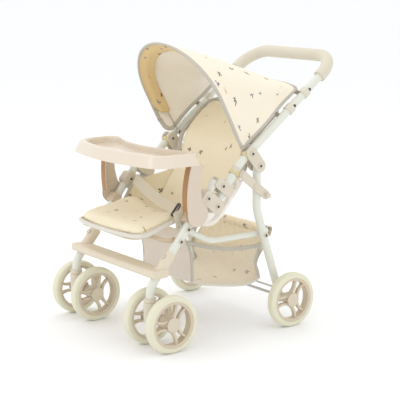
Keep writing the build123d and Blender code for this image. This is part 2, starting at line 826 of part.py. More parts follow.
def arm_section(z, y0, y1, x0, x1):
    corner = min(x1 - x0, y1 - y0) * arm_round
    return Pos((x0 + x1) / 2, (y0 + y1) / 2, z) * RectangleRounded(x1 - x0, y1 - y0, corner)


def tray_arm():
    """Arm plate from the tray's end down to a saddle that pushes onto the front leg."""
    foot_x = outside
    top_x = frame_half_width + arm_top_out
    waist_x = (foot_x * 2 + top_x) / 3
    arm = loft([
        arm_section(arm_foot_z, *arm_foot_y, foot_x, foot_x + arm_thick),
        arm_section(arm_waist_z, *arm_waist_y, waist_x, waist_x + arm_thick),
        arm_section(tray_bottom_z, *arm_top_y, top_x, top_x + arm_thick),
    ])
    share = (arm_flange_z - arm_foot_z) / (arm_waist_z - arm_foot_z)
    low_y = arm_foot_y[0] + share * (arm_waist_y[0] - arm_foot_y[0])
    low_x = foot_x + share * (waist_x - foot_x)
    arm += loft([
        arm_section(z, y, y + arm_flange_thick, x - arm_flange, x + arm_thick / 2)
        for z, y, x in ((arm_flange_z, low_y, low_x), (arm_waist_z, arm_waist_y[0], waist_x),
                        (tray_bottom_z, arm_top_y[0], top_x))
    ])
    arm += across(arm_lobe_r, foot_x, foot_x + arm_thick, arm_lobe)
    s0, s1 = saddle_s
    reach = plate_inner + saddle_wall
    outer = plate_outer + arm_thick / 2
    block = Pos((outer - reach) / 2, (saddle_grip - reach) / 2, (s0 + s1) / 2) * Box(
        outer + reach, saddle_grip + reach, s1 - s0)
    channel = Cylinder(plate_inner, 4 * s1) + Pos(0, reach, 0) * Box(2 * plate_inner, 2 * reach, 4 * s1)
    return arm + leg_frame(0) * (block - channel)


def build():
    os.makedirs("parts", exist_ok=True)
    save_pair("front_leg", front_leg())
    save("footrest", footrest())
    save_pair("hinge_bracket", hinge_bracket())
    save_group("frame_rivets", frame_rivets())
    save_group("swivel_collars", swivel_collar())
    save("seat_tube", seat_tube())
    save("seat_pan", seat_pan())
    save("lap_strap", lap_strap())
    save("strap_buckle", strap_buckle())
    save("tray", tray())
    save_pair("tray_arm", tray_arm())
    save("handle_tube", handle_tube())
    save("handle_grip", handle_grip())
    save_pair("lock_clip", lock_clip())
    save_pair("leg_bracket", leg_bracket())
    save_group("latch_mounts", latch_mount())
    save_group("handle_rivets", handle_rivets())
    save_group("canopy_clips", canopy_clips())
    save("seat_back", seat_back())
    save_pair("fold_latch", fold_latch())
    save("canopy_bow", canopy_bow())
    save("canopy_fabric", canopy_fabric())
    save_pair("rear_leg", rear_leg())
    rear_end = rear_wheel_x + hub_outer - 2 * axle_cover
    save("rear_axle", axle(-rear_end, rear_end, rear_axle_y))
    rod_x = frame_half_width - tube_r + tube_wall
    save("rear_cross_rod", across(cross_rod_r, -rod_x, rod_x, rear_leg_at(cross_rod_up)))
    save_group("rear_spacers", rear_spacer())
    save_group("rear_leg_rivets", rear_leg_rivet())
    save("basket_tube", basket_tube())
    save("basket_bag", basket_bag())
    save_pair("basket_side", basket_side())
    save_pair("caster", caster())
    front_end = wheel_pair_offset + hub_outer - 2 * axle_cover
    save_pair("front_axle", axle(frame_half_width - front_end, frame_half_width + front_end, 0))
    for side, sign in (("left", 1), ("right", -1)):
        save_wheel(f"front_{side}_outer", sign * (frame_half_width + wheel_pair_offset), 0, sign)
        save_wheel(f"front_{side}_inner", sign * (frame_half_width - wheel_pair_offset), 0, -sign)
        save_wheel(f"rear_{side}", sign * rear_wheel_x, rear_axle_y, sign)


build()
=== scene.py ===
import math

import bmesh
import bpy
import numpy as np
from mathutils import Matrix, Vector


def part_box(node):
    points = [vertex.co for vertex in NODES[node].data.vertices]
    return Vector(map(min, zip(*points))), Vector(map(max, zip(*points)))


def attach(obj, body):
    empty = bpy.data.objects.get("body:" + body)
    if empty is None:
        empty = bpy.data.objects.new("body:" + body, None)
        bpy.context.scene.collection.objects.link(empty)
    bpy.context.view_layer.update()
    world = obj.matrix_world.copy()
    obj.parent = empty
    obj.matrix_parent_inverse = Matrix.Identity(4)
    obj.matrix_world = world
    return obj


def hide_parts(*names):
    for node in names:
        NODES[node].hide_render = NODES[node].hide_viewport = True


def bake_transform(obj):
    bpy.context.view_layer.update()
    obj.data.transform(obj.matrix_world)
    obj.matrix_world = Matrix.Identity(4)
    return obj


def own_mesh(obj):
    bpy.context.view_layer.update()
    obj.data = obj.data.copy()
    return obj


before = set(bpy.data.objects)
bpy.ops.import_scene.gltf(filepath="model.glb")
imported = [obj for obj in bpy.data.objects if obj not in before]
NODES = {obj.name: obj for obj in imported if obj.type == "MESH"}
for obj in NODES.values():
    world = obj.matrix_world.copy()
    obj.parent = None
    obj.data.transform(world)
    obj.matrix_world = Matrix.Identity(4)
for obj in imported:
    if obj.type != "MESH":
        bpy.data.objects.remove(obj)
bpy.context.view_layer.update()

RIVET_BODIES = {"frame_rivets": "front_frame", "handle_rivets": "handle_frame",
                "rear_leg_rivets": "rear_frame"}
SIDES = (("left", 1), ("right", -1))
MM = 0.001

# Places on the frame, in millimetres: Y behind the front axle, Z above the floor
AXLE_Y = sum(corner.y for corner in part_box("front_axle_left")) / 2 / MM
TUBE_X = sum(corner.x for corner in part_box("front_leg_left")) / 2 / MM
LEG_SLOPE = math.radians(51)
LEG_KNEE = (-23.5, 125.0)
HANDLE_SLOPE = math.radians(38)
HANDLE_BEND = (199.94, 353.24)
BASKET_TUBE_Z = 195.0
BASKET_BACK_Y = 300.0


def at(x, y, z):
    """A point in the frame from millimetres, with Y behind the front axle."""
    return Vector((x * MM, (AXLE_Y + y) * MM, z * MM))


def leg_at(s, n=0.0):
    """Y and Z of a point s up the front leg from its knee and n behind it."""
    c, d = math.cos(LEG_SLOPE), math.sin(LEG_SLOPE)
    return LEG_KNEE[0] + s * c + n * d, LEG_KNEE[1] + s * d - n * c


def handle_at(t, n=0.0):
    """Y and Z of a point t up the handle from its bend and n below it."""
    c, d = math.cos(HANDLE_SLOPE), math.sin(HANDLE_SLOPE)
    return HANDLE_BEND[0] + t * c + n * d, HANDLE_BEND[1] + t * d - n * c


def clamp(t):
    return min(max(t, 0.0), 1.0)


def smooth(t):
    t = clamp(t)
    return t * t * (3 - 2 * t)


def turns(count):
    """Angle, cosine and sine of each of count equal steps round a circle."""
    for k in range(count):
        angle = math.tau * k / count
        yield angle, math.cos(angle), math.sin(angle)


def mirror(p):
    """The same place on the other side of the stroller."""
    return Vector((-p.x, p.y, p.z))


def square_to(along, direction):
    """The unit part of a direction that is square to along."""
    return (direction - along * direction.dot(along)).normalized()


def curve_through(points, t):
    """A point at share t of a smooth curve through the given points."""
    last = len(points) - 1
    place = clamp(t) * last
    i = min(int(place), last - 1)
    f = place - i
    p0, p1, p2, p3 = (np.array(points[min(max(k, 0), last)], float) for k in (i - 1, i, i + 1, i + 2))
    return 0.5 * (2 * p1 + (p2 - p0) * f + (2 * p0 - 5 * p1 + 4 * p2 - p3) * f ** 2
                  + (3 * p1 - p0 - 3 * p2 + p3) * f ** 3)


# Materials

def srgb(r, g, b):
    """A linear colour from 8-bit screen values."""
    def linear(c):
        return (c / 255 / 12.92) if c <= 10 else ((c / 255 + 0.055) / 1.055) ** 2.4

    return tuple(linear(c) for c in (r, g, b)) + (1.0,)


def shade(colour, share):
    return tuple(c * share for c in colour[:3]) + (1.0,)


# Cloth print: the ellipses of each motif as x, y, turn, length and width, in millimetres and degrees
SPRIG = ((0, 0, 90, 4.6, 0.45), (-1.9, -0.4, 145, 2.3, 1.0), (1.9, 0.9, 35, 2.3, 1.0),
         (-1.7, 2.6, 130, 2.0, 0.9), (0.3, 5.0, 85, 2.4, 1.0))
BERRIES = ((0, 0, 0, 1.7, 1.5), (2.8, 1.6, 0, 1.4, 1.3), (-1.2, 3.0, 0, 1.3, 1.5),
           (1.0, -2.6, 70, 2.6, 0.4))
LEAF = ((0, 0, 20, 3.0, 1.1), (3.6, 1.9, 20, 1.6, 0.35))
MOTIF_SHARES = (0.42, 0.66, 0.86)
BROWN_INK, PURPLE_INK, OCHRE_INK = srgb(84, 66, 54), srgb(112, 98, 138), srgb(206, 160, 84)
INK_STRENGTH = 0.92


class Finish:
    """A material being built: each call adds one node and links its inputs."""

    def __init__(self, name):
        self.material = bpy.data.materials.new(name)
        self.material.use_nodes = True
        self.tree = self.material.node_tree
        self.tree.nodes.clear()
        self.bsdf = self.add("ShaderNodeBsdfPrincipled")
        self.add("ShaderNodeOutputMaterial", {"Surface": self.bsdf.outputs[0]})

    def feed(self, socket, value):
        """Links a socket to another one, or sets its value."""
        if isinstance(value, bpy.types.NodeSocket):
            self.tree.links.new(value, socket)
        else:
            socket.default_value = value

    def add(self, kind, inputs=None, **settings):
        node = self.tree.nodes.new(kind)
        for key, value in settings.items():
            setattr(node, key, value)
        for key, value in (inputs or {}).items():
            self.feed(node.inputs[key], value)
        return node

    def set(self, **values):
        """Principled inputs by name, with underscores for spaces."""
        for key, value in values.items():
            self.feed(self.bsdf.inputs[key.replace("_", " ")], value)

    def math(self, operation, a, b=0.0, c=0.0):
        return self.add("ShaderNodeMath", {0: a, 1: b, 2: c}, operation=operation).outputs[0]

    def mix(self, share, a, b):
        return self.add("ShaderNodeMix", {0: share, 6: a, 7: b}, data_type="RGBA").outputs[2]

    def ramp(self, value, low, high, to_low=0.0, to_high=1.0):
        inputs = {0: value, 1: low, 2: high, 3: to_low, 4: to_high}
        return self.add("ShaderNodeMapRange", inputs, interpolation_type="SMOOTHSTEP").outputs[0]

    def coords(self):
        return self.add("ShaderNodeTexCoord").outputs["Object"]

    def facing(self, direction):
        """How far the surface faces a direction: 1 where it looks straight that way."""
        inputs = {0: self.add("ShaderNodeTexCoord").outputs["Normal"], 1: direction}
        return self.add("ShaderNodeVectorMath", inputs, operation="DOT_PRODUCT").outputs["Value"]

    def cloth_uv(self):
        return self.add("ShaderNodeUVMap", uv_map="cloth").outputs[0]

    def noise(self, where, scale, detail=3.0, roughness=0.5):
        inputs = {"Vector": where, "Scale": scale, "Detail": detail, "Roughness": roughness}
        return self.add("ShaderNodeTexNoise", inputs).outputs[0]

    def bump(self, height, distance, strength=1.0, under=None):
        inputs = {"Height": height, "Distance": distance, "Strength": strength}
        if under:
            inputs["Normal"] = under
        return self.add("ShaderNodeBump", inputs).outputs[0]

    def ellipse(self, where, x, y, turn, length, width):
        """Distance field of an ellipse in the cloth's plane: below 1 inside it."""
        inputs = {"Vector": where, "Location": (x * MM, y * MM, 0), "Rotation": (0, 0, math.radians(turn)),
                  "Scale": (length * MM, width * MM, 1)}
        placed = self.add("ShaderNodeMapping", inputs, vector_type="TEXTURE").outputs[0]
        return self.add("ShaderNodeVectorMath", {0: placed}, operation="LENGTH").outputs["Value"]

    def nearest(self, fields):
        found = fields[0]
        for field in fields[1:]:
            found = self.math("MINIMUM", found, field)
        return self.ramp(found, 0.8, 1.15, 1.0, 0.0)

    def scattered_print(self, uv, ground, cell):
        """Tiny generic sprigs, berries and single leaves, each turned its own way, on a ground."""
        inputs = {"Vector": uv, "Scale": 1 / cell, "Randomness": 0.85}
        cells = self.add("ShaderNodeTexVoronoi", inputs, voronoi_dimensions="2D")
        chance = self.add("ShaderNodeSeparateColor", {0: cells.outputs["Color"]}).outputs
        local = self.add("ShaderNodeVectorMath", {0: uv, 1: cells.outputs["Position"]}, operation="SUBTRACT")
        size = self.ramp(chance[2], 0.0, 1.0, 0.85, 1.5)
        inputs = {0: local.outputs[0], "Scale": self.math("DIVIDE", 1.0, size)}
        local = self.add("ShaderNodeVectorMath", inputs, operation="SCALE")
        turn = self.math("MULTIPLY", chance[0], math.tau)
        spot = self.add("ShaderNodeVectorRotate", {"Vector": local.outputs[0], "Angle": turn},
                        rotation_type="Z_AXIS").outputs[0]
        sprig, berries, leaf = (self.nearest([self.ellipse(spot, *part) for part in motif])
                                for motif in (SPRIG, BERRIES, LEAF))
        pick = [self.math("LESS_THAN", chance[1], edge) for edge in MOTIF_SHARES]
        colour = ground
        for mask, low, high, ink in ((leaf, pick[1], pick[2], OCHRE_INK),
                                     (berries, pick[0], pick[1], PURPLE_INK),
                                     (sprig, 0.0, pick[0], BROWN_INK)):
            chosen = self.math("MULTIPLY", mask, self.math("SUBTRACT", high, low))
            colour = self.mix(self.math("MULTIPLY", chosen, INK_STRENGTH), colour, ink)
        return colour


def moulded(name, colour, roughness, grain=700.0, depth=0.00006, mottle=0.05, coat=0.0, edge=None):
    """Moulded plastic or paint: mottling, a fine grain, uneven sheen and, if asked, painted shade on faces
    that look forward.
    """
    m = Finish(name)
    where = m.coords()
    tint = m.mix(m.noise(where, 14.0, 4.0), shade(colour, 1 - mottle), colour)
    # edge is the colour of painted shade, laid on faces that look forward (towards -Y)
    if edge:
        tint = m.mix(m.ramp(m.facing((0.0, -1.0, 0.0)), 0.72, 0.9), tint, edge)
    worn = m.ramp(m.noise(where, 55.0, 5.0), 0.35, 0.7, roughness * 0.88, roughness * 1.15)
    m.set(Base_Color=tint, Roughness=worn, Normal=m.bump(m.noise(where, grain, 2.0), depth))
    m.set(Coat_Weight=coat, Coat_Roughness=0.12, Specular_IOR_Level=0.45)
    return m.material


def foam(name, colour):
    """Closed-cell foam: small round pits and a dry surface."""
    m = Finish(name)
    where = m.coords()
    cells = m.add("ShaderNodeTexVoronoi", {"Vector": where, "Scale": 620.0}).outputs["Distance"]
    tint = m.mix(m.noise(where, 26.0, 4.0), shade(colour, 0.94), colour)
    m.set(Base_Color=tint, Roughness=0.86, Normal=m.bump(cells, 0.00025, 0.6), Sheen_Weight=0.15)
    return m.material


def metal(name, colour, roughness):
    m = Finish(name)
    where = m.coords()
    spread = m.ramp(m.noise(where, 260.0, 3.0), 0.3, 0.7, roughness * 0.7, roughness * 1.3)
    m.set(Base_Color=m.mix(m.noise(where, 80.0), shade(colour, 0.85), colour), Metallic=1.0, Roughness=spread)
    m.set(Normal=m.bump(m.noise(where, 900.0), 0.00004))
    return m.material


def woven(name, colour, printed=0.0, thread=0.0011, crease=0.0012, sheen=0.12, tone=0.06, plain_side=None):
    """Woven polyester: an over-and-under thread, soft creases and, if asked, a print on one side or both."""
    m = Finish(name)
    uv = m.cloth_uv()
    scale = math.tau / (20 * thread)
    warp, weft = (m.add("ShaderNodeTexWave", {"Vector": uv, "Scale": scale}, bands_direction=way).outputs[1]
                  for way in "XY")
    threads = m.math("MAXIMUM", warp, weft)
    cloud = m.noise(uv, 18.0, 4.0)
    ground = m.mix(cloud, shade(colour, 1 - tone), colour)
    ground = m.mix(m.math("MULTIPLY", threads, 0.1), ground, shade(colour, 1.06))
    if printed:
        ground = m.scattered_print(uv, ground, printed)
        if plain_side:
            ground = m.mix(m.ramp(m.facing(plain_side), -0.1, 0.1), ground, shade(colour, 1.02))
    soft = m.bump(m.noise(uv, 34.0, 3.0, 0.45), crease)
    m.set(Base_Color=ground, Roughness=0.82, Normal=m.bump(threads, 0.00012, 0.5, soft))
    m.set(Sheen_Weight=sheen, Sheen_Roughness=0.5, Specular_IOR_Level=0.25)
    return m.material


def webbing(name, colour, solid=False):
    """Ribbed strap webbing with a herringbone line along its length."""
    m = Finish(name)
    uv = m.coords() if solid else m.cloth_uv()
    waves = {"Vector": uv, "Scale": 170.0, "Distortion": 0.6}
    ribs = m.add("ShaderNodeTexWave", waves, bands_direction="DIAGONAL").outputs[1]
    tint = m.mix(ribs, shade(colour, 0.9), colour)
    tint = m.mix(m.math("MULTIPLY", m.noise(uv, 30.0), 0.35), tint, shade(colour, 0.86))
    m.set(Base_Color=tint, Roughness=0.78, Normal=m.bump(ribs, 0.0002, 0.7), Sheen_Weight=0.1)
    return m.material


CREAM = srgb(247, 236, 208)
PAINT = moulded("tube_paint", srgb(227, 228, 217), 0.34, 420.0, 0.00003, 0.035, 0.25)
# Seat tube: a tan darker than the frame's paint, painted shade from under the seat
UNDERSEAT_SHADE = moulded("seat_tube_painted_shade", srgb(208, 188, 158), 0.4)
BRACKET = moulded("bracket_plastic", srgb(219, 209, 191), 0.42, 800.0)
FOOTBAR = moulded("footrest_plastic", srgb(225, 213, 191), 0.4, 800.0)
TRAY = moulded("tray_gloss", srgb(230, 217, 199), 0.17, 500.0, 0.00002, 0.03, 0.4)
# Tray arms: the edge colour is painted brown shade on their forward faces, under the overhanging tray
ARM = moulded("tray_arm_plastic", srgb(218, 203, 184), 0.36, 800.0, 0.00005, edge=srgb(172, 126, 80))
TYRE = moulded("tyre_foam", srgb(230, 227, 203), 0.62, 900.0, 0.00012, 0.06)
RIM = moulded("rim_plastic", srgb(214, 200, 177), 0.38, 800.0, 0.00005)
CAP = moulded("hub_cap_plastic", srgb(217, 205, 184), 0.34, 800.0, 0.00005, 0.04)
GRIP = foam("grip_foam", srgb(221, 214, 195))
ROD = metal("rod_steel", srgb(205, 203, 198), 0.26)
BUCKLE = moulded("buckle_plastic", srgb(70, 62, 56), 0.4)
CANOPY_OUT = woven("canopy_print", srgb(249, 239, 219), 0.047)
CANOPY_IN = woven("canopy_lining", srgb(254, 248, 237), tone=0.05)
FACING = woven("canopy_facing", srgb(228, 202, 150), 0.036)
SEAT = woven("seat_print", CREAM, 0.05)
BACKREST = woven("backrest_print", CREAM, 0.05, plain_side=(0.0, 0.7, -0.7))
PLAIN = woven("cover_back_cloth", srgb(252, 247, 240))
BAG = woven("basket_cloth", srgb(238, 229, 220), tone=0.05)
BAG_IN = woven("basket_lining", srgb(252, 242, 222), 0.052, tone=0.05)
BINDING = woven("grey_binding", srgb(200, 194, 182), 0.0, 0.0008, 0.0006)
PALE_BINDING = woven("pale_binding", srgb(226, 221, 210), 0.0, 0.0008, 0.0006)
MESH = woven("basket_mesh", srgb(253, 247, 237), 0.0, 0.0006, 0.0002)
STRAP = webbing("strap_webbing", srgb(230, 220, 198))
ELASTIC = webbing("elastic_tab", srgb(222, 208, 160))
LOOP = webbing("canopy_loop", srgb(228, 222, 206), True)
TAB = webbing("canopy_tab", srgb(150, 138, 118))
RIVET = moulded("painted_rivet", srgb(214, 206, 190), 0.36)
# Dark snaps on the handle tubes; the same dark colour is painted shade in the rivet heads' hollow centres
SNAP_AND_RIVET_SHADE = metal("dark_snap_and_rivet_shade", srgb(92, 84, 74), 0.38)
# Thread of the facing seam: real stitches, their brown is painted shadow of the casing seam
SEAM_SHADE = woven("seam_shadow_thread", srgb(150, 118, 80), 0.0, 0.0004, 0.0001)
THREAD = woven("sewing_thread", srgb(214, 200, 172), 0.0, 0.0004, 0.0001)


# Building blocks

def add_object(name, data):
    found = bpy.data.objects.new(name, data)
    bpy.context.scene.collection.objects.link(found)
    return found


def new_piece(name, mesh, finish, body):
    piece = add_object(name, mesh)
    mesh.materials.append(finish)
    if body:
        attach(piece, body)
    return piece


def smooth_cloth(mesh, uvs=None):
    """Smooth shading; uvs gives one cloth coordinate for each point, in metres."""
    mesh.polygons.foreach_set("use_smooth", [True] * len(mesh.polygons))
    if uvs is not None:
        layer = mesh.uv_layers.new(name="cloth")
        for loop in mesh.loops:
            layer.data[loop.index].uv = uvs[loop.vertex_index]


def mesh_from(name, points, faces, uvs=None):
    mesh = bpy.data.meshes.new(name)
    mesh.from_pydata([tuple(p) for p in points], [], faces)
    smooth_cloth(mesh, uvs)
    mesh.update()
    return mesh


def grid_faces(rows, columns, ring=False):
    """Quads of a grid of points stored row by row; ring joins the last column to the first."""
    faces = []
    for i in range(rows - 1):
        for j in range(columns if ring else columns - 1):
            k = (j + 1) % columns
            faces.append((i * columns + j, i * columns + k, (i + 1) * columns + k, (i + 1) * columns + j))
    return faces


def shell_faces(rows, columns):
    """Faces of an upper grid and, after it, a lower one that is turned over."""
    count = rows * columns
    upper = grid_faces(rows, columns)
    return upper + [tuple(count + k for k in reversed(face)) for face in upper]


def merged(points, faces):
    """Joins points that lie in one place, so that a shell is closed."""
    mesh = bmesh.new()
    corners = [mesh.verts.new(p) for p in points]
    for face in faces:
        mesh.faces.new([corners[k] for k in face])
    bmesh.ops.remove_doubles(mesh, verts=mesh.verts, dist=0.0002)
    mesh.verts.index_update()
    found = [v.co.copy() for v in mesh.verts], [tuple(v.index for v in f.verts) for f in mesh.faces]
    mesh.free()
    return found


def runs(points):
    """Distance along a row of points, at each of them."""
    found = [0.0]
    for a, b in zip(points, points[1:]):
        found.append(found[-1] + (Vector(b) - Vector(a)).length)
    return found


def grid_uvs(rows):
    """Cloth coordinates of a grid: distance along the middle row and the middle column."""
    across = runs(rows[len(rows) // 2])
    along = runs([row[len(row) // 2] for row in rows])
    return [(u, v) for v in along for u in across]


def cloth_sheet(name, rows, finish, body, thick=0.0012, offset=-1.0):
    """A sheet through a grid of points, given a thickness."""
    points = [p for row in rows for p in row]
    mesh = mesh_from(name, points, grid_faces(len(rows), len(rows[0])), grid_uvs(rows))
    piece = new_piece(name, mesh, finish, body)
    solid = piece.modifiers.new("thickness", "SOLIDIFY")
    solid.thickness = thick
    solid.offset = offset
    return piece


def sweep(name, path, sides, normals, section, finish, body, closed=False):
    """A section of (side, normal) offsets carried along a path, with capped ends."""
    points, uvs, run = [], [], 0.0
    for i, (p, side, normal) in enumerate(zip(path, sides, normals)):
        if i:
            run += (Vector(p) - Vector(path[i - 1])).length
        points += [Vector(p) + side * a + normal * b for a, b in section]
        uvs += [(a + b, run) for a, b in section]
    count = len(section)
    faces = grid_faces(len(path), count, ring=True)
    if closed:
        last = (len(path) - 1) * count
        faces += [(last + j, last + (j + 1) % count, (j + 1) % count, j) for j in range(count)]
    else:
        faces += [tuple(reversed(range(count))), tuple(range(len(points) - count, len(points)))]
    return new_piece(name, mesh_from(name, points, faces, uvs), finish, body)


def oval(width, thick, start=None, count=10):
    """A flat rounded section from start to start + width in the side direction."""
    start = -width / 2 if start is None else start
    return [(start + width / 2 + width / 2 * math.copysign(abs(c) ** 0.6, c),
             thick / 2 * math.copysign(abs(s) ** 0.6, s)) for _, c, s in turns(count)]


def frames_along(path, inward):
    """Side and normal directions at each point of an edge, with the side pointing into the cloth."""
    sides, normals = [], []
    last = len(path) - 1
    for i, p in enumerate(path):
        tangent = (Vector(path[min(i + 1, last)]) - Vector(path[max(i - 1, 0)])).normalized()
        sides.append(square_to(tangent, Vector(inward[i]) - Vector(p)))
        normals.append(tangent.cross(sides[-1]))
    return sides, normals


def binding(name, edge, inward, width, thick, finish, body, proud=0.0012):
    """A bound edge: a folded tape that wraps the rim of a sheet."""
    sides, normals = frames_along(edge, inward)
    return sweep(name, edge, sides, normals, oval(width, thick, -proud), finish, body)


def stitches(name, path, normals, finish, body, step=0.0042, length=0.0026, radius=0.00035):
    """A row of short raised threads along a path."""
    points, faces, run, due = [], [], 0.0, step / 2
    for i in range(len(path) - 1):
        a, b = Vector(path[i]), Vector(path[i + 1])
        gap = (b - a).length
        while due <= run + gap and gap > 1e-9:
            spot = a + (b - a) * ((due - run) / gap)
            along = (b - a).normalized()
            normal = normals[i].normalized()
            side = along.cross(normal).normalized()
            base = len(points)
            for end, scale in ((-0.5, 0.5), (-0.2, 1.0), (0.2, 1.0), (0.5, 0.5)):
                for c, s in ((1, 0), (0, 1), (-1, 0), (0, -1)):
                    points.append(spot + along * (length * end) + (side * c + normal * s) * (radius * scale))
            faces += [tuple(base + k for k in face) for face in grid_faces(4, 4, ring=True)]
            faces += [(base + 3, base + 2, base + 1, base), (base + 12, base + 13, base + 14, base + 15)]
            due += step
        run += gap
    return new_piece(name, mesh_from(name, points, faces, [(p.x, p.y) for p in points]), finish, body)


def subdivide(piece, levels=1):
    piece.modifiers.new("round", "SUBSURF").levels = levels
    piece.modifiers["round"].render_levels = levels
    return piece


def apply_modifiers(piece):
    """Bakes a piece's modifiers into its mesh."""
    graph = bpy.context.evaluated_depsgraph_get()
    mesh = bpy.data.meshes.new_from_object(piece.evaluated_get(graph))
    piece.modifiers.clear()
    piece.data = mesh


CLOTH_STEPS = 20


def puff(name, points, faces, finish, body, slot, voxel, pressure, cap, uv_of):
    """A padded piece: a closed shell remeshed, blown up as cloth and capped in how far it may move.
"""
    mesh = mesh_from(name, points, faces)
    piece = new_piece(name, mesh, finish, None)
    remesh = piece.modifiers.new("remesh", "REMESH")
    remesh.mode = "VOXEL"
    remesh.voxel_size = voxel
    apply_modifiers(piece)
    rest = np.array([v.co for v in piece.data.vertices])
    cloth = piece.modifiers.new("cloth", "CLOTH")
    cloth.settings.use_pressure = True
    cloth.settings.uniform_pressure_force = pressure
    cloth.settings.effector_weights.gravity = 0
    cloth.settings.mass = 0.2
    cloth.settings.quality = 6
    scene = bpy.context.scene
    for step in range(1, CLOTH_STEPS + 1):
        scene.frame_set(step)
    apply_modifiers(piece)
    scene.frame_set(1)
    moved = np.array([v.co for v in piece.data.vertices]) - rest
    far = np.linalg.norm(moved, axis=1, keepdims=True)
    moved *= np.minimum(1.0, cap / np.maximum(far, 1e-9))
    piece.data.vertices.foreach_set("co", (rest + moved).ravel())
    smooth_cloth(piece.data, [uv_of(v.co) for v in piece.data.vertices])
    subdivide(piece)
    if body:
        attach(piece, body)
    return piece


# Studio

CAMERA_TARGET = (0.0, 200.731, 252.972)
CAMERA_TURN, CAMERA_RISE = math.radians(53.794), math.radians(10.888)
CAMERA_AWAY, CAMERA_LENS, CAMERA_SENSOR = 2.554993, 108.02, 36.0
FLOOR_HALF = 40
LAMP_AIM = Vector((0, 0, 0.3))
LAMPS = (  # name, place, size and power
    ("key", (-0.6, -2.0, 2.2), 1.4, 8.0),
    ("fill", (2.4, 0.6, 1.5), 1.6, 2.0),
    ("top", (-0.5, 0.4, 2.6), 1.8, 7.0),
)


def studio():
    scene = bpy.context.scene
    level = math.cos(CAMERA_RISE)
    back = Vector((math.sin(CAMERA_TURN) * level, -math.cos(CAMERA_TURN) * level, math.sin(CAMERA_RISE)))
    camera = bpy.data.cameras.new("camera")
    camera.lens = CAMERA_LENS
    camera.sensor_width = CAMERA_SENSOR
    camera.clip_end = 200.0
    scene.camera = add_object("camera", camera)
    scene.camera.location = at(*CAMERA_TARGET) + back * CAMERA_AWAY
    scene.camera.rotation_euler = back.to_track_quat("Z", "Y").to_euler()
    h = FLOOR_HALF
    floor_mesh = mesh_from("floor", [(-h, -h, 0), (h, -h, 0), (h, h, 0), (-h, h, 0)], [(0, 1, 2, 3)])
    floor = add_object("floor", floor_mesh)
    paper = Finish("floor_paper")
    paper.set(Base_Color=srgb(253, 254, 255), Roughness=0.9, Specular_IOR_Level=0.1)
    floor_mesh.materials.append(paper.material)
    scene.world = bpy.data.worlds.new("studio")
    scene.world.use_nodes = True
    sky = scene.world.node_tree.nodes["Background"].inputs
    sky[0].default_value = (1.0, 1.0, 1.0, 1.0)
    sky[1].default_value = 1.0
    scene.view_settings.view_transform = "Standard"
    for name, spot, size, power in LAMPS:
        light = bpy.data.lights.new(name, "AREA")
        light.size = size
        light.energy = power
        lamp = add_object(name, light)
        lamp.location = spot
        lamp.rotation_euler = (Vector(spot) - LAMP_AIM).to_track_quat("Z", "Y").to_euler()


# Finishes of the CAD pieces that stay

def finish_frame():
    """Each CAD node takes the finish of the longest name that its own name starts with."""
    groups = (
        (PAINT, ("front_leg", "handle_tube", "rear_leg_left", "rear_leg_right", "basket_tube")),
        (UNDERSEAT_SHADE, ("seat_tube",)), (FOOTBAR, ("footrest",)), (ARM, ("tray_arm",)), (TRAY, ("tray",)),
        (BRACKET, ("hinge_bracket", "lock_clip", "leg_bracket", "latch_mounts", "fold_latch", "caster",
                   "swivel_collars", "rear_spacers")),
        (RIVET, tuple(RIVET_BODIES)),
        (ROD, ("rear_axle", "rear_cross_rod", "front_axle", "canopy_bow")),
        (GRIP, ("handle_grip",)), (TYRE, ("tyre",)), (RIM, ("rim",)), (CAP, ("hub_cap",)),
        (BUCKLE, ("strap_buckle",)), (LOOP, ("canopy_clips",)),
    )
    finishes = {start: finish for finish, starts in groups for start in starts}
    for name, node in NODES.items():
        found = [start for start in finishes if name.startswith(start)]
        if found:
            node.data.materials.clear()
            node.data.materials.append(finishes[max(found, key=len)])


# Seat

